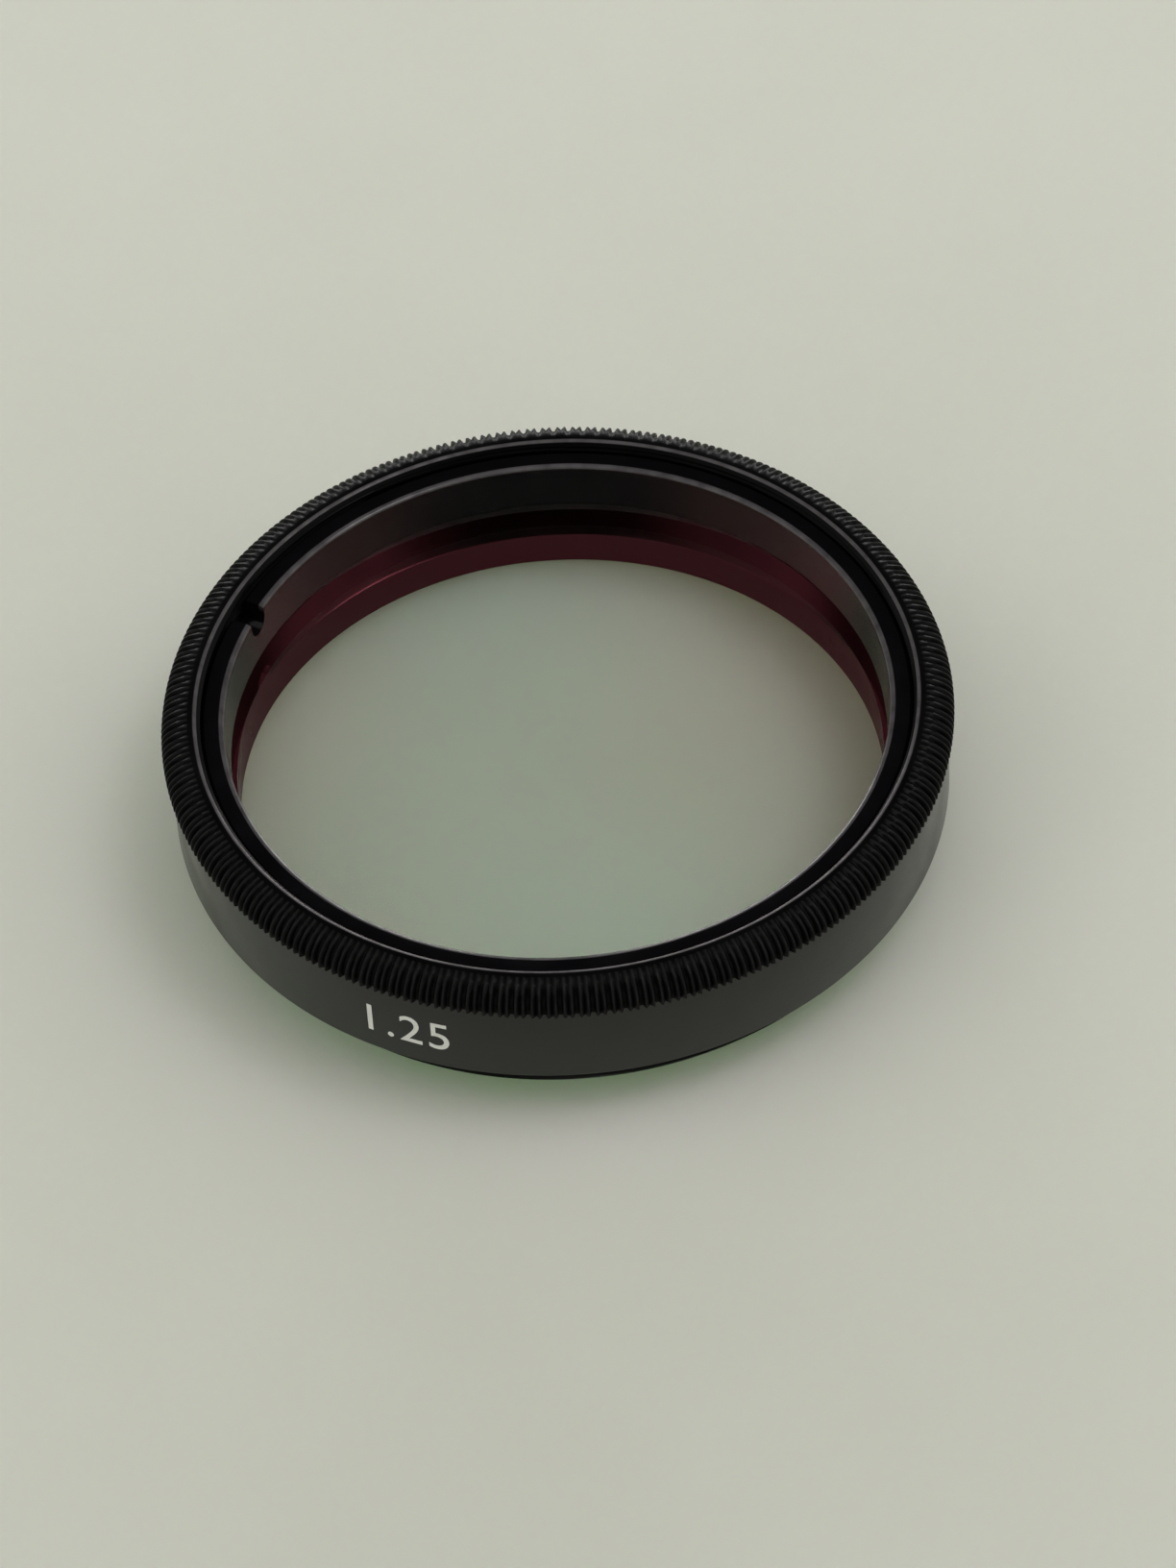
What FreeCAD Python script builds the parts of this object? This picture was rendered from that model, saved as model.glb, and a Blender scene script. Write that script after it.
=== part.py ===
import FreeCAD, Part
import Sketcher
import os

# A 1.25-inch telescope blocking filter, lying on its threaded end as it would on a table.
# Three turned or ground pieces share one axis, which is Z. The origin is the centre of the
# thread's end face, so Z is the height above the table.
#   filter_cell     knurled holder with the male thread below and the female thread above
#   filter_glass    coated disc that rests on the cell's inner ledge
#   retaining_ring  slotted ring in the female thread, which holds the glass down

doc = FreeCAD.newDocument("blocking_filter")

# Driving sizes, in millimetres and degrees
sizes = [
    ("thread_major", 28.5, "outer diameter of the male thread and root diameter of the female one"),
    ("thread_depth", 0.325, "female thread, from its root in to its crests"),
    ("thread_length", 1.7, "male thread, from its end face to the shoulder"),
    ("thread_chamfer", 0.3, "lead-in on the male thread"),
    ("relief_width", 0.35, "undercut between the thread and the shoulder"),
    ("relief_depth", 0.45, "bottom of that undercut, in from the male thread's outside"),
    ("ledge_width", 1.2, "ledge under the glass, in from the female thread's crests"),
    ("edge_break", 0.15, "small chamfers on the cell's lower edges"),
    ("band_wall", 1, "smooth band, out from the male thread's outside"),
    ("band_height", 3.65, "smooth band, from the shoulder to the knurl"),
    ("knurl_rise", 0.25, "tips of the knurl, out from the smooth band"),
    ("knurl_height", 1.2, "knurled rim, from the band to the top face"),
    ("knurl_round", 0.9, "rounding of the rim's upper edge"),
    ("round_steps", 2, "straight steps that the rounding is turned in"),
    ("knurl_depth", 0.22, "from a tip of the knurl to the bottom of a groove"),
    ("knurl_count", 156, "grooves round the rim"),
    ("tip_width", 0.2, "land left on top of each tooth"),
    ("mouth_chamfer", 0.15, "lead-in of the female thread"),
    ("seat_height", 0.45, "ledge under the glass, above the shoulder"),
    ("glass_thickness", 2, "coated disc"),
    ("glass_clearance", 0.15, "radial gap between the disc and the thread's crests"),
    ("glass_bevel", 0.15, "ground bevel round both faces of the disc"),
    ("ring_height", 2, "retaining ring"),
    ("ring_clearance", 0.025, "radial gap between the ring's land and the bore"),
    ("ring_wall_top", 0.65, "width of the ring's upper face"),
    ("ring_bevel", 0.22, "chamfer between the ring's upper face and its bore"),
    ("ring_wall_bottom", 1.03, "width of the ring on the glass"),
    ("ring_chamfer", 0.12, "lead-in on the ring's outer edges"),
    ("slot_width", 1.1, "spanner slot across the ring"),
    ("slot_depth", 0.95, "spanner slot, below the ring's upper face"),
    ("slot_angle", 153, "spanner slot, round from +X"),
    ("cut_margin", 0.05, "how far a cutter stands out of what it cuts"),
]

# Sizes that follow from the driving ones
derived = [
    ("band_top", "thread_length + band_height", "level of the knurl's lower edge"),
    ("top_face", "band_top + knurl_height", "level of the cell's upper face"),
    ("seat_level", "thread_length + seat_height", "level of the ledge"),
    ("glass_top", "seat_level + glass_thickness", "level of the disc's upper face"),
    ("ring_top", "glass_top + ring_height", "level of the ring's upper face"),
    ("round_level", "top_face - knurl_round", "level where the rounding starts"),
    ("thread_radius", "thread_major / 2", "outside of the male thread"),
    ("bore_radius", "thread_radius - thread_depth", "crests of the female thread"),
    ("aperture_radius", "bore_radius - ledge_width", "clear opening under the glass"),
    ("glass_radius", "bore_radius - glass_clearance", "edge of the disc"),
    ("ring_radius", "bore_radius - ring_clearance", "outside of the ring"),
    ("band_radius", "thread_radius + band_wall", "smooth band"),
    ("tip_radius", "band_radius + knurl_rise", "tips of the knurl"),
    ("root_radius", "tip_radius - knurl_depth", "bottoms of its grooves"),
    ("cutter_radius", "tip_radius + cut_margin", "outer edge of a groove's cutter"),
    ("tip_pitch", "2 * pi * tip_radius / knurl_count", "spacing of the teeth over their tips"),
    ("groove_flare", "(tip_pitch - tip_width) / (2 * knurl_depth)", "half width of a groove for each unit of depth"),
]

sheet = doc.addObject("Spreadsheet::Sheet", "sizes")
row = 0
for alias, value, note in sizes + derived:
    row += 1
    text = str(value) if isinstance(value, (int, float)) else "=" + value
    sheet.set("A%d" % row, alias)
    sheet.set("B%d" % row, text)
    sheet.set("C%d" % row, note)
    sheet.setAlias("B%d" % row, alias)
doc.recompute()


def origin_feature(body, role):
    """One of the body's own origin planes or axes, such as XY_Plane or Z_Axis."""
    for feature in body.Origin.OriginFeatures:
        if feature.Role == role:
            return feature


def named(expression):
    """Put the sheet's name before each of its aliases in an expression."""
    words = []
    word = ""
    for letter in expression + " ":
        if letter.isalnum() or letter == "_":
            word += letter
            continue
        if word in aliases:
            word = "sizes." + word
        words.append(word + letter)
        word = ""
    return "".join(words).strip()


aliases = {entry[0] for entry in sizes + derived}


def new_body(label):
    body = doc.addObject("PartDesign::Body", label)
    body.Label = label
    return body


def new_sketch(body, name, role, level=None, turn=None):
    """Empty sketch on one of the body's planes, lifted by level and turned by turn."""
    sketch = body.newObject("Sketcher::SketchObject", name)
    sketch.AttachmentSupport = (origin_feature(body, role), "")
    sketch.MapMode = "FlatFace"
    if level:
        sketch.setExpression(".AttachmentOffset.Base.z", named(level))
    if turn:
        sketch.setExpression(".AttachmentOffset.Rotation.Angle", named(turn))
    return sketch


def value_of(expression):
    """What an expression of the sheet's aliases is worth now."""
    return float(sheet.evalExpression(named(expression)))


def bind(sketch, kind, place, expression):
    """Add a size to the sketch and tie it to the sheet."""
    value = value_of(expression)
    number = sketch.addConstraint(Sketcher.Constraint(kind, *place, value))
    sketch.setExpression("Constraints[%d]" % number, named(expression))


def fix_point(sketch, line, end, across, up):
    """Hold one end of a line at its two coordinates."""
    for kind, expression in (("DistanceX", across), ("DistanceY", up)):
        if expression == "0":
            other = -2 if kind == "DistanceX" else -1
            sketch.addConstraint(Sketcher.Constraint("PointOnObject", line, end, other))
        else:
            bind(sketch, kind, (-1, 1, line, end), expression)


def outline(sketch, corners):
    """Closed outline of straight lines through the corners."""
    count = len(corners)
    points = [FreeCAD.Vector(value_of(x), value_of(y), 0) for x, y in corners]
    for index in range(count):
        sketch.addGeometry(Part.LineSegment(points[index], points[(index + 1) % count]))
    for index in range(count):
        following = (index + 1) % count
        sketch.addConstraint(Sketcher.Constraint("Coincident", index, 2, following, 1))
        fix_point(sketch, index, 1, *corners[index])


def revolve(body, sketch, name):
    turned = body.newObject("PartDesign::Revolution", name)
    turned.Profile = sketch
    turned.ReferenceAxis = (sketch, ["V_Axis"])
    turned.Angle = 360
    return turned


def repeat(body, features, name, count):
    """Repeat features evenly round the body's axis."""
    pattern = body.newObject("PartDesign::PolarPattern", name)
    pattern.Originals = features
    pattern.Axis = (origin_feature(body, "Z_Axis"), [""])
    pattern.Angle = 360
    pattern.setExpression("Occurrences", named(count))
    body.Tip = pattern
    return pattern


def make_cell():
    """Cell: one turning, then the grooves of the knurl."""
    body = new_body("filter_cell")
    section = new_sketch(body, "cell_section", "XZ_Plane")
    corners = [
        ("aperture_radius + edge_break", "0"),
        ("thread_radius - thread_chamfer", "0"),
        ("thread_radius", "thread_chamfer"),
        ("thread_radius", "thread_length - relief_width"),
        ("thread_radius - relief_depth", "thread_length - relief_width"),
        ("thread_radius - relief_depth", "thread_length"),
        ("band_radius - edge_break", "thread_length"),
        ("band_radius", "thread_length + edge_break"),
        ("band_radius", "band_top"),
        ("tip_radius", "band_top"),
    ]
    corners += rounding("tip_radius")
    corners += [
        ("bore_radius + mouth_chamfer", "top_face"),
        ("bore_radius", "top_face - mouth_chamfer"),
        ("bore_radius", "seat_level"),
        ("aperture_radius", "seat_level"),
        ("aperture_radius", "edge_break"),
    ]
    outline(section, corners)
    revolve(body, section, "cell_turning")

    profile = new_sketch(body, "groove_section", "XY_Plane", "band_top - cut_margin")
    groove_outline(profile)
    spine = new_sketch(body, "groove_path", "XZ_Plane")
    corners = [("root_radius", "band_top - cut_margin")]
    corners += rounding("root_radius")
    corners.append(("root_radius - 2 * knurl_round", "top_face + cut_margin"))
    open_path(spine, corners)
    groove = body.newObject("PartDesign::SubtractivePipe", "groove")
    groove.Profile = profile
    groove.Spine = spine
    groove.Mode = "Fixed"
    groove.Transition = "Right corner"
    doc.recompute()
    repeat(body, [groove], "knurl", "knurl_count")
    return body


def rounding(radius):
    """Corners of the rim's rounding, which starts at round_level on an upright at that radius."""
    corners = []
    steps = int(value_of("round_steps"))
    for step in range(steps + 1):
        turn = "90 * %d / round_steps" % step
        across = "%s - knurl_round + knurl_round * cos(%s)" % (radius, turn)
        up = "round_level + knurl_round * sin(%s)" % turn
        corners.append((across, up))
    return corners


def open_path(sketch, corners):
    """Row of straight lines through the corners."""
    points = [FreeCAD.Vector(value_of(x), value_of(y), 0) for x, y in corners]
    last = len(points) - 1
    for index in range(last):
        sketch.addGeometry(Part.LineSegment(points[index], points[index + 1]))
    for index in range(last):
        if index:
            sketch.addConstraint(Sketcher.Constraint("Coincident", index - 1, 2, index, 1))
        fix_point(sketch, index, 1, *corners[index])
    fix_point(sketch, last - 1, 2, *corners[last])


def groove_outline(sketch):
    """V section of one groove, from its bottom out past the tips."""
    half_width = "groove_flare * (cutter_radius - root_radius)"
    corners = [
        ("root_radius", "0"),
        ("cutter_radius", "-" + half_width),
        ("cutter_radius", half_width),
    ]
    outline(sketch, corners)


def make_glass():
    """Plane-parallel disc with a ground bevel round each face."""
    body = new_body("filter_glass")
    section = new_sketch(body, "glass_section", "XZ_Plane")
    corners = [
        ("0", "seat_level"),
        ("glass_radius - glass_bevel", "seat_level"),
        ("glass_radius", "seat_level + glass_bevel"),
        ("glass_radius", "glass_top - glass_bevel"),
        ("glass_radius - glass_bevel", "glass_top"),
        ("0", "glass_top"),
    ]
    outline(section, corners)
    revolve(body, section, "glass_disc")
    return body


def make_ring():
    """Retaining ring with a flared bore and a spanner slot in its upper face."""
    body = new_body("retaining_ring")
    section = new_sketch(body, "ring_section", "XZ_Plane")
    corners = [
        ("ring_radius - ring_wall_bottom", "glass_top"),
        ("ring_radius - ring_chamfer", "glass_top"),
        ("ring_radius", "glass_top + ring_chamfer"),
        ("ring_radius", "ring_top - ring_chamfer"),
        ("ring_radius - ring_chamfer", "ring_top"),
        ("ring_radius - ring_wall_top", "ring_top"),
        ("ring_radius - ring_wall_top - ring_bevel", "ring_top - ring_bevel"),
    ]
    outline(section, corners)
    revolve(body, section, "ring_turning")

    mouth = new_sketch(body, "slot_section", "XY_Plane", "ring_top", "slot_angle")
    half = "slot_width / 2"
    corners = [
        ("ring_radius - ring_wall_bottom - slot_width", "-" + half),
        ("ring_radius + slot_width", "-" + half),
        ("ring_radius + slot_width", half),
        ("ring_radius - ring_wall_bottom - slot_width", half),
    ]
    outline(mouth, corners)
    slot = body.newObject("PartDesign::Pocket", "slot")
    slot.Profile = mouth
    slot.Type = "Length"
    slot.setExpression("Length", named("slot_depth"))
    return body


pieces = [make_cell(), make_glass(), make_ring()]
doc.recompute()

for item in doc.Objects:
    if "Invalid" in item.State or "Error" in item.State:
        raise RuntimeError("%s did not build: %s" % (item.Label, item.State))
for piece in pieces:
    if piece.Shape.isNull() or not piece.Shape.isValid():
        raise RuntimeError("%s has no valid solid" % piece.Label)

os.makedirs("parts", exist_ok=True)
for piece in pieces:
    piece.Shape.exportStep("parts/%s.step" % piece.Label)
    print("%s: %d solid, %.2f mm3" % (piece.Label, len(piece.Shape.Solids), piece.Shape.Volume))
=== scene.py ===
from math import cos, hypot, pi, radians, sin, sqrt

import bmesh
import bpy
from mathutils import Matrix, Vector


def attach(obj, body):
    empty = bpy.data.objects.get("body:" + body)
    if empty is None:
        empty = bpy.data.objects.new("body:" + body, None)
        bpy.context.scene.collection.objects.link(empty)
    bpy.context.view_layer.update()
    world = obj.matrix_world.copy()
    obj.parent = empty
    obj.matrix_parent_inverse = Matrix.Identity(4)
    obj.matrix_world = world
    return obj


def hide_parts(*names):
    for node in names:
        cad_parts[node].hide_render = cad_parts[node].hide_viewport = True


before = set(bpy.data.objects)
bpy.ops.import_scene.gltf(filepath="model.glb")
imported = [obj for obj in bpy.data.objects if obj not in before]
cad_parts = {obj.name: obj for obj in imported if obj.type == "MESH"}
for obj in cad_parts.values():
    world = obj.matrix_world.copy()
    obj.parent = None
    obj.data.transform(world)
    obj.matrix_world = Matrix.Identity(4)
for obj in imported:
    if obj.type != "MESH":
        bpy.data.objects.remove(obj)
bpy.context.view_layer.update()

# Sizes of the real object, in millimetres. Z is the height above the table.
MM = 0.001
THREAD_R = 14.25
BORE_R = 13.925
APERTURE_R = 12.725
RELIEF_R = 13.8
SHOULDER = 1.7
RELIEF_Z = 1.35
SEAT = 2.15
GLASS_TOP = 4.15
GLASS_R = 13.775
GLASS_BEVEL = 0.15
RING_TOP = 6.15
RING_R = 13.9
RING_BORE_TOP = 13.0
RING_BORE_LOW = 12.87
RING_SOFT = 0.25
RING_CHAMFER = 0.12
SLOT_ANGLE = radians(153)
SLOT_WIDTH = 1.1
SLOT_DEPTH = 0.95
BAND_R = 15.25
BAND_TOP = 5.35
TIP_R = 15.5
TOP = 6.55
MOUTH_R = 14.075
KNURL_DEPTH = 0.22
TEETH = 156
PITCH = 0.6
MARK_ANGLE = radians(244)
MARK_LOW = 2.75
EDGE_BREAK = 0.15
MALE_DEPTH = 0.36
MALE_CHAMFER = 0.34
FEMALE_DEPTH = 0.30

# Rounded edges as (step out from the edge's radius, drop below its level)
MOUTH_EDGE = ((0.16, 0.0), (0.11, 0.008), (0.05, 0.028), (0.0, 0.052), (-0.03, 0.085), (-0.12, 0.19))
RING_EDGE = (
    (0.24, 0.0), (0.19, 0.008), (0.12, 0.028), (0.05, 0.055), (0.015, 0.09), (0.0, 0.15), (-0.01, RING_SOFT),
)

# How far the black has worn to metal, the same all round the axis
RIDGE_WEAR = 0.16
MOUTH_WEAR = 0.45
LIP_WEAR = 0.42
WORN_METAL = (0.42, 0.39, 0.40)

# Finish and light
TURNING = 0.2
GLASS_IOR = 1.52
ROOM_LEVEL = 1.33
DARK_PATCH = 0.04

# The camera that took the photograph, fitted to its circles
FOCAL = 8000.0
TILT = radians(47.58)
ROLL = radians(-3.98)
SHIFT = (-1.02, 0.11)
DISTANCE = 303.0
PHOTO_HEIGHT = 1632
SENSOR = 36


# Meshes

def grid_mesh(name, rows):
    """Mesh of rows of points round the axis. Each row joins the next, and the last joins the first."""
    verts = [p for row in rows for p in row]
    n = len(rows[0])
    faces = []
    for r in range(len(rows)):
        a, b = r * n, ((r + 1) % len(rows)) * n
        for c in range(n):
            d = (c + 1) % n
            faces.append((a + c, a + d, b + d, b + c))
    return new_object(name, verts, faces)


def new_object(name, verts, faces):
    mesh = bpy.data.meshes.new(name)
    mesh.from_pydata([(x * MM, y * MM, z * MM) for x, y, z in verts], [], faces)
    mesh.update()
    obj = bpy.data.objects.new(name, mesh)
    bpy.context.scene.collection.objects.link(obj)
    return obj


def polar(radius, angle, z):
    return (radius * cos(angle), radius * sin(angle), z)


def smooth(obj, angle):
    """Smooth shading with hard edges over the given angle."""
    obj.data.polygons.foreach_set("use_smooth", [True] * len(obj.data.polygons))
    obj.data.set_sharp_from_angle(angle=radians(angle))
    obj.data.update()


def add_wear(obj, rows):
    """Store on each point how far its black has worn to metal."""
    layer = obj.data.attributes.new("wear", "FLOAT", "POINT")
    layer.data.foreach_set("value", [value for row in rows for value in row])


def join_doubles(obj):
    """Merge points that lie on each other, such as both sides of a wall that has no height."""
    work = bmesh.new()
    work.from_mesh(obj.data)
    bmesh.ops.remove_doubles(work, verts=work.verts, dist=1e-8)
    bmesh.ops.dissolve_degenerate(work, edges=work.edges, dist=1e-8)
    bmesh.ops.recalc_face_normals(work, faces=work.faces)
    work.to_mesh(obj.data)
    work.free()


def thread_cut(angle, z, depth):
    """How deep a 60 degree thread is at this place: 0 on a crest, depth in a root."""
    phase = (z / PITCH - angle / (2 * pi)) % 1.0
    flank = abs(phase - 0.5) * 2
    return depth * min(max((flank - 0.18) / 0.6, 0.0), 1.0)


# Cell

# One pitch of the knurl: where its points are, and how deep, from 0 on a tooth to 1 in a groove
TOOTH = (0.0, 0.19, 0.28, 0.41, 0.5, 0.59, 0.72, 0.81)
DEPTH = (0.65, 0.0, 0.0, 0.92, 1.0, 0.92, 0.0, 0.0)

# The rim's rounded edge is a quarter of an ellipse
RIM_ACROSS = 1.2
RIM_UP = 0.95
GROOVE_END = 14.38
GROOVE_RUN = 1.0


def columns():
    """Angle and groove depth of each column of points round the cell."""
    step = 2 * pi / TEETH
    return [
        ((tooth + 0.5 + part) * step, deep)
        for tooth in range(TEETH) for part, deep in zip(TOOTH, DEPTH)
    ]


def rim_profile(steps):
    """Points of the rim's rounded edge with the direction in which its grooves are cut."""
    points = []
    for i in range(steps + 1):
        t = radians(90 * i / steps)
        r = TIP_R - RIM_ACROSS + RIM_ACROSS * cos(t)
        z = TOP - RIM_UP + RIM_UP * sin(t)
        normal = (cos(t) / RIM_ACROSS, sin(t) / RIM_UP)
        size = hypot(*normal)
        points.append((r, z, normal[0] / size, normal[1] / size))
    return points


def make_cell():
    """Turned cell with both threads, the smooth band and the knurl over the rounded rim."""
    cols = columns()
    rows = []
    wear = []

    def plain(r, z, worn=0.0):
        rows.append([polar(r, a, z) for a, d in cols])
        wear.append([worn] * len(cols))

    def threaded(radius, z, depth, limit=100.0):
        row = [polar(min(limit, radius - thread_cut(a, z, depth)), a, z) for a, d in cols]
        rows.append(row)
        wear.append([0.0] * len(cols))

    # Under side and male thread
    plain(APERTURE_R, EDGE_BREAK)
    plain(APERTURE_R + EDGE_BREAK, 0.0)
    plain(THREAD_R - MALE_CHAMFER, 0.0)
    z = 0.02
    while z < RELIEF_Z - 0.01:
        threaded(THREAD_R, z, MALE_DEPTH, THREAD_R - MALE_CHAMFER + z)
        z += 0.066
    plain(RELIEF_R, RELIEF_Z)
    plain(RELIEF_R, SHOULDER)

    # Shoulder and smooth band
    plain(BAND_R - 0.12, SHOULDER)
    plain(BAND_R - 0.085, SHOULDER + 0.01)
    plain(BAND_R - 0.015, SHOULDER + 0.08)
    plain(BAND_R, SHOULDER + 0.12)
    plain(BAND_R, BAND_TOP - 0.03)
    plain(BAND_R, BAND_TOP)

    # Knurled rim
    profile = [(TIP_R - 0.07, BAND_TOP, 1.0, 0.0), (TIP_R - 0.01, BAND_TOP + 0.05, 1.0, 0.0)]
    profile += [point for point in rim_profile(14) if point[0] > GROOVE_END]
    for r, z, across, up in profile:
        cut = KNURL_DEPTH * min(1.0, (r - GROOVE_END) / GROOVE_RUN)
        rows.append([polar(r - cut * d * across, a, z - cut * d * up) for a, d in cols])
        wear.append([RIDGE_WEAR if d < 0.1 else 0.0 for a, d in cols])

    # Top face, mouth and female thread
    plain(GROOVE_END, TOP - 0.005)
    plain(GROOVE_END - 0.1, TOP)
    for r, drop in MOUTH_EDGE:
        plain(MOUTH_R + r, TOP - drop, MOUTH_WEAR if 0 <= r < 0.12 else 0.0)
    z = TOP - 0.22
    while z > RING_TOP - 0.5:
        threaded(BORE_R + FEMALE_DEPTH, z, FEMALE_DEPTH)
        z -= 0.055
    plain(BORE_R, z)
    plain(BORE_R, SEAT)
    plain(APERTURE_R, SEAT)
    obj = grid_mesh("cell", [row[::-1] for row in rows])
    add_wear(obj, [row[::-1] for row in wear])
    smooth(obj, 40)
    # Above the band and inside the bore the cell takes the second, darker black. Its extra darkness is
    # painted shade.
    for poly in obj.data.polygons:
        inside = hypot(poly.center.x, poly.center.y) < BORE_R * MM
        poly.material_index = int(poly.center.z > BAND_TOP * MM or inside)
    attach(obj, "root")
    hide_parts("filter_cell")
    return obj


# Retaining ring

def ring_columns():
    """Angle of each column round the ring, with how deep the slot is there."""
    half = SLOT_WIDTH / 2 / RING_BORE_TOP
    cols = []
    count = 240
    for i in range(count + 1):
        cols.append((half + (2 * pi - 2 * half) * i / count, 0.0))
    inside = 12
    for i in range(inside + 1):
        across = 1 - 2 * i / inside
        deep = SLOT_DEPTH * (0.45 + 0.55 * sqrt(max(0.0, 1 - across * across)))
        cols.append((-half * across, deep))
    return [(SLOT_ANGLE + a, deep) for a, deep in cols]


def make_ring():
    """Retaining ring with a flared bore, soft edges and one spanner slot."""
    profile = [
        (RING_BORE_LOW + 0.03, GLASS_TOP, 0), (RING_R - RING_CHAMFER, GLASS_TOP, 0),
        (RING_R, GLASS_TOP + RING_CHAMFER, 0), (RING_R, RING_TOP - RING_CHAMFER, 0),
        (RING_R - RING_CHAMFER, RING_TOP, 0),
    ]
    for r, drop in RING_EDGE:
        profile.append((RING_BORE_TOP + r, RING_TOP - drop, LIP_WEAR if 0.01 < r < 0.2 else 0))
    profile.append((RING_BORE_LOW, GLASS_TOP + 0.03, 0))
    flare = (RING_BORE_TOP - RING_BORE_LOW) / (RING_TOP - RING_SOFT - GLASS_TOP)
    cols = ring_columns()
    rows = []
    wear = []
    for r, z, worn in profile:
        row = []
        for angle, deep in cols:
            low = min(z, RING_TOP - deep)
            bore = RING_BORE_LOW + flare * (low - GLASS_TOP)
            radius = min(r, bore) if r < RING_BORE_TOP + RING_SOFT / 2 and z > low else r
            row.append(polar(radius, angle, low))
        rows.append(row)
        wear.append([0 if deep else worn for angle, deep in cols])
    obj = grid_mesh("ring", [row[::-1] for row in rows])
    add_wear(obj, [row[::-1] for row in wear])
    join_doubles(obj)
    smooth(obj, 30)
    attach(obj, "root")
    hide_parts("retaining_ring")
    return obj


# Mark

def make_mark():
    """The barrel size as a plain painted number, wrapped on the smooth band."""
    font = bpy.data.curves.new("mark", "FONT")
    font.body = "1.25"
    font.size = 2.1
    font.extrude = 0.03
    font.resolution_u = 6
    font.space_character = 1.1
    text = bpy.data.objects.new("mark_text", font)
    bpy.context.scene.collection.objects.link(text)
    bpy.context.view_layer.update()
    mesh = bpy.data.meshes.new_from_object(text)
    bpy.data.objects.remove(text)
    obj = bpy.data.objects.new("size_mark", mesh)
    bpy.context.scene.collection.objects.link(obj)
    middle = max(v.co.x for v in mesh.vertices) / 2
    for v in mesh.vertices:
        angle = MARK_ANGLE + (v.co.x - middle) / BAND_R
        radius = BAND_R + v.co.z / 2
        v.co = Vector(polar(radius, angle, MARK_LOW + v.co.y)) * MM
    join_doubles(obj)
    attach(obj, "root")
    return obj


# Glass

def make_glass():
    """Polished disc with a ground bevel and edge."""
    n = 256
    profile = [
        (GLASS_R - GLASS_BEVEL, SEAT), (GLASS_R, SEAT + GLASS_BEVEL),
        (GLASS_R, GLASS_TOP - GLASS_BEVEL), (GLASS_R - GLASS_BEVEL, GLASS_TOP),
    ]
    verts = []
    for r, z in profile:
        verts += [polar(r, 2 * pi * i / n, z) for i in range(n)]
    faces = []
    for k in range(3):
        for i in range(n):
            j = (i + 1) % n
            faces.append((k * n + i, k * n + j, (k + 1) * n + j, (k + 1) * n + i))
    faces.append(tuple(range(n - 1, -1, -1)))
    faces.append(tuple(range(3 * n, 4 * n)))
    obj = new_object("glass", verts, faces)
    for poly in obj.data.polygons:
        poly.use_smooth = len(poly.vertices) == 4
        side = abs(poly.normal.z) < 0.99
        poly.material_index = 2 if side else (0 if poly.normal.z > 0 else 1)
    obj.data.set_sharp_from_angle(angle=radians(20))
    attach(obj, "root")
    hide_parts("filter_glass")
    return obj


# Materials

def material(name):
    mat = bpy.data.materials.new(name)
    mat.use_nodes = True
    mat.node_tree.nodes.clear()
    return mat, mat.node_tree.nodes, mat.node_tree.links


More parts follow.
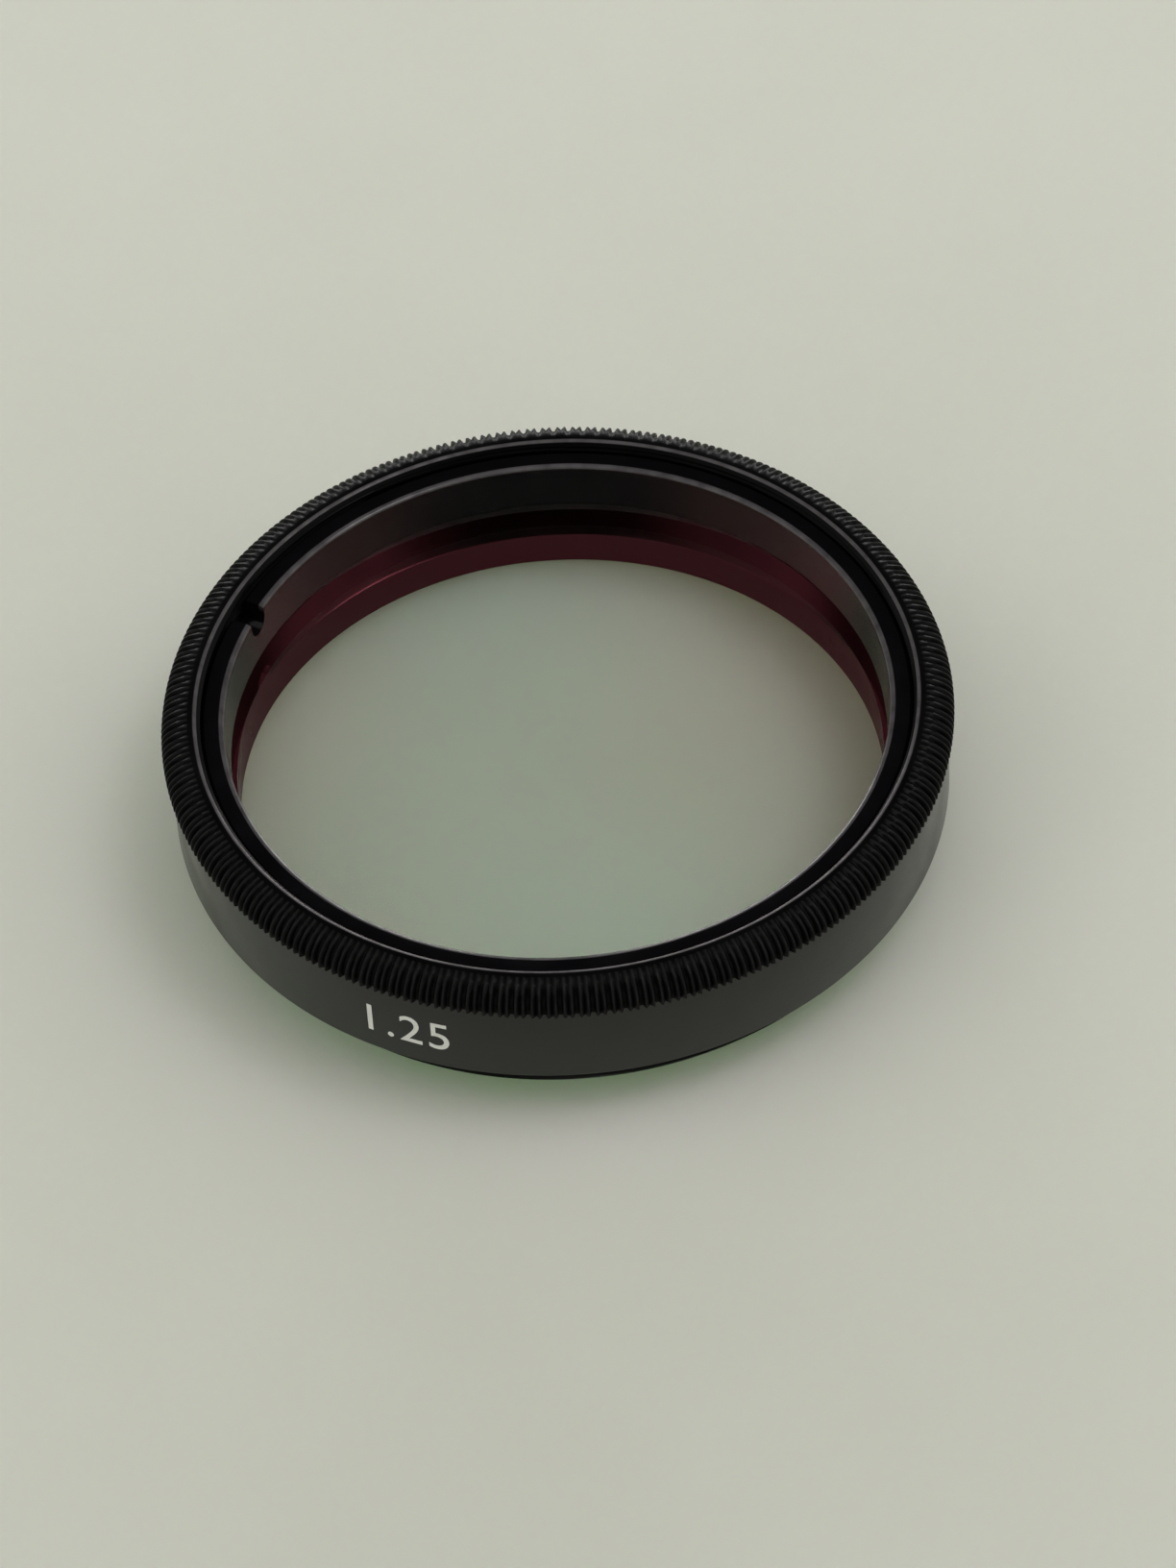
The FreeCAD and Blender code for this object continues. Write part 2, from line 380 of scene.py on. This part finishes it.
def black_anodised(name, base, rough, gloss):
    """Black anodised aluminium: turning marks round the axis, mottled gloss, fine pits, worn edges."""
    mat, nodes, links = material(name)
    out = nodes.new("ShaderNodeOutputMaterial")
    shader = nodes.new("ShaderNodeBsdfPrincipled")
    links.new(shader.outputs[0], out.inputs["Surface"])
    coord = nodes.new("ShaderNodeTexCoord")

    def noise(scale, detail, stretch=(1, 1, 1)):
        node = nodes.new("ShaderNodeTexNoise")
        node.inputs["Scale"].default_value = scale
        node.inputs["Detail"].default_value = detail
        place = nodes.new("ShaderNodeMapping")
        place.inputs["Scale"].default_value = stretch
        links.new(coord.outputs["Object"], place.inputs["Vector"])
        links.new(place.outputs[0], node.inputs["Vector"])
        return node.outputs["Fac"]

    def span(source, low, high, start=0.3, end=0.7):
        node = nodes.new("ShaderNodeMapRange")
        node.inputs["From Min"].default_value = start
        node.inputs["From Max"].default_value = end
        node.inputs["To Min"].default_value = low
        node.inputs["To Max"].default_value = high
        links.new(source, node.inputs["Value"])
        return node.outputs[0]

    def blend(factor, first, second):
        node = nodes.new("ShaderNodeMix")
        node.data_type = "RGBA"
        links.new(factor, node.inputs["Factor"])
        for value, socket in ((first, node.inputs["A"]), (second, node.inputs["B"])):
            if isinstance(value, tuple):
                socket.default_value = (*value, 1)
            else:
                links.new(value, socket)
        return node.outputs["Result"]

    cloud = noise(500, 3)
    grain = noise(9000, 2)
    lines = noise(120, 3, (1, 1, 60))
    dye = blend(cloud, tuple(c * 0.7 for c in base), tuple(c * 1.4 for c in base))
    wear = nodes.new("ShaderNodeAttribute")
    wear.attribute_name = "wear"
    edge = nodes.new("ShaderNodeMath")
    edge.operation = "POWER"
    edge.inputs[1].default_value = 2.0
    links.new(wear.outputs["Fac"], edge.inputs[0])
    patchy = nodes.new("ShaderNodeMath")
    patchy.operation = "MULTIPLY"
    links.new(edge.outputs[0], patchy.inputs[0])
    links.new(span(noise(1500, 4), 0.45, 0.95), patchy.inputs[1])
    links.new(blend(patchy.outputs[0], dye, WORN_METAL), shader.inputs["Base Color"])
    links.new(patchy.outputs[0], shader.inputs["Metallic"])
    links.new(span(cloud, rough - 0.04, rough + 0.05), shader.inputs["Roughness"])

    both = nodes.new("ShaderNodeMath")
    both.operation = "MULTIPLY_ADD"
    both.inputs[1].default_value = 0.6
    links.new(grain, both.inputs[0])
    links.new(lines, both.inputs[2])
    bump = nodes.new("ShaderNodeBump")
    bump.inputs["Strength"].default_value = TURNING
    bump.inputs["Distance"].default_value = 0.00001
    links.new(both.outputs[0], bump.inputs["Height"])
    links.new(bump.outputs[0], shader.inputs["Normal"])
    shader.inputs["IOR"].default_value = gloss
    return mat


def mark_paint():
    """Matt off-white paint with a little wear."""
    mat, nodes, links = material("mark_paint")
    out = nodes.new("ShaderNodeOutputMaterial")
    shader = nodes.new("ShaderNodeBsdfPrincipled")
    links.new(shader.outputs[0], out.inputs["Surface"])
    coord = nodes.new("ShaderNodeTexCoord")
    grain = nodes.new("ShaderNodeTexNoise")
    grain.inputs["Scale"].default_value = 4000
    links.new(coord.outputs["Object"], grain.inputs["Vector"])
    tint = nodes.new("ShaderNodeMix")
    tint.data_type = "RGBA"
    tint.inputs["A"].default_value = (0.50, 0.50, 0.46, 1)
    tint.inputs["B"].default_value = (0.66, 0.66, 0.62, 1)
    links.new(grain.outputs["Fac"], tint.inputs["Factor"])
    links.new(tint.outputs["Result"], shader.inputs["Base Color"])
    shader.inputs["Roughness"].default_value = 0.6
    return mat


def clear_face(tree, mirror, passed, shaded):
    """Finish of a polished face: what it mirrors, what is seen through it, and the light it lets down."""
    mat, nodes, links = tree

    def tinted(kind, colour):
        node = nodes.new(kind)
        if isinstance(colour, tuple):
            node.inputs["Color"].default_value = (*colour, 1)
        else:
            links.new(colour, node.inputs["Color"])
        return node

    out = nodes.new("ShaderNodeOutputMaterial")
    reflect = tinted("ShaderNodeBsdfGlossy", mirror)
    reflect.inputs["Roughness"].default_value = 0.0
    bend = tinted("ShaderNodeBsdfRefraction", passed)
    bend.inputs["Roughness"].default_value = 0.0
    bend.inputs["IOR"].default_value = GLASS_IOR
    add = nodes.new("ShaderNodeAddShader")
    links.new(reflect.outputs[0], add.inputs[0])
    links.new(bend.outputs[0], add.inputs[1])
    clear = tinted("ShaderNodeBsdfTransparent", shaded)
    path = nodes.new("ShaderNodeLightPath")
    mix = nodes.new("ShaderNodeMixShader")
    links.new(path.outputs["Is Shadow Ray"], mix.inputs["Fac"])
    links.new(add.outputs[0], mix.inputs[1])
    links.new(clear.outputs[0], mix.inputs[2])
    links.new(mix.outputs[0], out.inputs["Surface"])
    return mat


def coated_glass():
    """Front face: it mirrors red at a slant, and the light that it lets down is green."""
    mat, nodes, links = tree = material("glass_coating")
    weight = nodes.new("ShaderNodeLayerWeight")
    weight.inputs["Blend"].default_value = 0.5

    def ramp(stops):
        node = nodes.new("ShaderNodeValToRGB")
        links.new(weight.outputs["Facing"], node.inputs["Fac"])
        while len(node.color_ramp.elements) < len(stops):
            node.color_ramp.elements.new(0.5)
        for item, (place, colour) in zip(node.color_ramp.elements, stops):
            item.position = place
            item.color = (*colour, 1)
        return node

    mirror = ramp([
        (0.0, (0.05, 0.02, 0.05)), (0.12, (0.15, 0.03, 0.05)), (0.26, (0.42, 0.08, 0.12)),
        (0.6, (0.65, 0.35, 0.30)), (1.0, (1, 1, 1)),
    ])
    passed = ramp([
        (0.0, (0.92, 0.95, 0.92)), (0.12, (0.85, 0.90, 0.88)), (0.26, (0.64, 0.585, 0.64)),
        (0.6, (0.34, 0.55, 0.55)), (1.0, (0, 0, 0)),
    ])
    # A faint tint drifts across the face in a fixed pattern, turned a quarter round the axis, between a
    # trace of green and a trace of warmth.
    coord = nodes.new("ShaderNodeTexCoord")
    drift = nodes.new("ShaderNodeTexNoise")
    drift.inputs["Scale"].default_value = 55
    drift.inputs["Detail"].default_value = 1
    turn = nodes.new("ShaderNodeMapping")
    turn.inputs["Rotation"].default_value = (0, 0, radians(-90))
    links.new(coord.outputs["Object"], turn.inputs["Vector"])
    links.new(turn.outputs[0], drift.inputs["Vector"])
    tint = nodes.new("ShaderNodeValToRGB")
    for item, colour in zip(tint.color_ramp.elements, ((0.94, 1.0, 0.98), (1.0, 0.975, 0.95))):
        item.color = (*colour, 1)
    tint.color_ramp.elements[0].position = 0.35
    tint.color_ramp.elements[1].position = 0.65
    links.new(drift.outputs["Fac"], tint.inputs["Fac"])
    uneven = nodes.new("ShaderNodeMix")
    uneven.data_type = "RGBA"
    uneven.blend_type = "MULTIPLY"
    uneven.inputs["Factor"].default_value = 1.0
    links.new(passed.outputs[0], uneven.inputs["A"])
    links.new(tint.outputs[0], uneven.inputs["B"])
    return clear_face(tree, mirror.outputs[0], uneven.outputs["Result"], (0.62, 0.97, 0.68))


def plain_glass():
    """Rear face, with a broadband coating that mirrors little."""
    passed = (0.97, 0.98, 0.97)
    return clear_face(material("glass_rear"), (0.02, 0.03, 0.025), passed, passed)


def ground_glass():
    """Fine-ground edge of the disc, which looks grey."""
    mat, nodes, links = material("glass_edge")
    out = nodes.new("ShaderNodeOutputMaterial")
    shader = nodes.new("ShaderNodeBsdfPrincipled")
    shader.inputs["Base Color"].default_value = (0.10, 0.12, 0.11, 1)
    grain = nodes.new("ShaderNodeTexNoise")
    grain.inputs["Scale"].default_value = 6000
    span = nodes.new("ShaderNodeMapRange")
    span.inputs["To Min"].default_value = 0.5
    span.inputs["To Max"].default_value = 0.75
    links.new(grain.outputs["Fac"], span.inputs["Value"])
    links.new(span.outputs[0], shader.inputs["Roughness"])
    links.new(shader.outputs[0], out.inputs["Surface"])
    return mat


def pale_sheet():
    """Pale foam sheet that the filter lies on, which lets a little light spread inside it."""
    mat, nodes, links = material("pale_sheet")
    out = nodes.new("ShaderNodeOutputMaterial")
    shader = nodes.new("ShaderNodeBsdfPrincipled")
    coord = nodes.new("ShaderNodeTexCoord")
    cloud = nodes.new("ShaderNodeTexNoise")
    cloud.inputs["Scale"].default_value = 60
    cloud.inputs["Detail"].default_value = 4
    links.new(coord.outputs["Object"], cloud.inputs["Vector"])
    tint = nodes.new("ShaderNodeMix")
    tint.data_type = "RGBA"
    tint.inputs["A"].default_value = (0.55, 0.56, 0.49, 1)
    tint.inputs["B"].default_value = (0.60, 0.61, 0.54, 1)
    links.new(cloud.outputs["Fac"], tint.inputs["Factor"])
    links.new(tint.outputs["Result"], shader.inputs["Base Color"])
    shader.inputs["Roughness"].default_value = 0.7
    shader.inputs["Subsurface Weight"].default_value = 1.0
    shader.inputs["Subsurface Radius"].default_value = (0.85, 1.15, 0.8)
    shader.inputs["Subsurface Scale"].default_value = 0.013
    links.new(shader.outputs[0], out.inputs["Surface"])
    return mat


# Floor, light and camera

def make_floor():
    size = 2000.0
    verts = [(-size, -size, 0), (size, -size, 0), (size, size, 0), (-size, size, 0)]
    obj = new_object("floor", verts, [(0, 1, 2, 3)])
    obj.data.materials.append(pale_sheet())


def lamp(name, azimuth, elevation, distance, size, power):
    """Soft rectangular white lamp that faces the filter."""
    data = bpy.data.lights.new(name, "AREA")
    data.shape = "RECTANGLE"
    data.size, data.size_y = size
    data.energy = power
    obj = bpy.data.objects.new(name, data)
    bpy.context.scene.collection.objects.link(obj)
    a, e = radians(azimuth), radians(elevation)
    place = Vector((cos(e) * cos(a), cos(e) * sin(a), sin(e))) * distance
    obj.location = place
    obj.rotation_euler = (-place).to_track_quat("-Z", "Y").to_euler()


def make_light():
    """A bright even room with a dark patch before and behind, a soft window and two low strips."""
    world = bpy.data.worlds.new("room")
    bpy.context.scene.world = world
    world.use_nodes = True
    nodes, links = world.node_tree.nodes, world.node_tree.links
    back = nodes["Background"]

    def vector(operation, value):
        node = nodes.new("ShaderNodeVectorMath")
        node.operation = operation
        node.inputs[1].default_value = value
        return node

    coord = nodes.new("ShaderNodeTexCoord")
    squeeze = vector("MULTIPLY", (0.65, 1, 1))
    unit = vector("NORMALIZE", (0, 0, 0))
    links.new(coord.outputs["Generated"], squeeze.inputs[0])
    links.new(squeeze.outputs[0], unit.inputs[0])

    def shade(source, side, elevation, inner, outer):
        """Level that falls smoothly from 1 to almost 0 towards one direction."""
        up = radians(elevation)
        near = vector("DOT_PRODUCT", (0, side * cos(up), sin(up)))
        links.new(source, near.inputs[0])
        node = nodes.new("ShaderNodeMapRange")
        node.interpolation_type = "SMOOTHSTEP"
        node.inputs["From Min"].default_value = cos(radians(outer))
        node.inputs["From Max"].default_value = cos(radians(inner))
        node.inputs["To Min"].default_value = 1.0
        node.inputs["To Max"].default_value = DARK_PATCH
        links.new(near.outputs["Value"], node.inputs["Value"])
        return node.outputs[0]

    behind = shade(unit.outputs[0], 1, 44, 22, 46)
    before = shade(unit.outputs[0], -1, 47, 12, 32)
    both = nodes.new("ShaderNodeMath")
    both.operation = "MULTIPLY"
    links.new(behind, both.inputs[0])
    links.new(before, both.inputs[1])
    level = nodes.new("ShaderNodeMath")
    level.operation = "MULTIPLY"
    level.inputs[1].default_value = ROOM_LEVEL
    links.new(both.outputs[0], level.inputs[0])
    links.new(level.outputs[0], back.inputs["Strength"])
    back.inputs["Color"].default_value = (1.0, 1.0, 0.97, 1)
    lamp("window_right", -4, 67, 0.8, (0.25, 0.25), 1.35)
    lamp("strip_right", 73, 9, 0.6, (0.26, 0.16), 1.0)
    lamp("strip_left", 105, 9, 0.6, (0.26, 0.16), 1.0)


def make_camera():
    e, rho = TILT, ROLL
    right = Vector((1, 0, 0))
    up = Vector((0, sin(e), cos(e)))
    ahead = Vector((0, cos(e), -sin(e)))
    across = cos(rho) * right + sin(rho) * up
    upright = -sin(rho) * right + cos(rho) * up
    middle = Vector((0, 0, SHOULDER))
    place = -SHIFT[0] * across - SHIFT[1] * upright - DISTANCE * ahead + middle
    data = bpy.data.cameras.new("camera")
    data.sensor_width = SENSOR
    data.lens = FOCAL * SENSOR / PHOTO_HEIGHT
    data.clip_start = 0.01
    data.clip_end = 20
    obj = bpy.data.objects.new("camera", data)
    bpy.context.scene.collection.objects.link(obj)
    turn = Matrix((across, upright, -ahead)).transposed().to_4x4()
    obj.matrix_world = Matrix.Translation(place * MM) @ turn
    bpy.context.scene.camera = obj


make_camera()
make_floor()
make_light()
cell = make_cell()
ring = make_ring()
glass = make_glass()
mark = make_mark()
cell.data.materials.append(black_anodised("cell_black", (0.009, 0.009, 0.0085), 0.22, 1.36))
# Rim, top face and bore use the band's black made darker, and that extra darkness is painted shade. They
# also have less gloss.
cell.data.materials.append(black_anodised("knurl_black_and_painted_shade", (0.0015, 0.0015, 0.0015), 0.30, 1.10))
ring.data.materials.append(black_anodised("ring_black", (0.002, 0.0017, 0.0022), 0.18, 1.20))
mark.data.materials.append(mark_paint())
for piece in (coated_glass(), plain_glass(), ground_glass()):
    glass.data.materials.append(piece)
bpy.context.scene.view_settings.view_transform = "Standard"
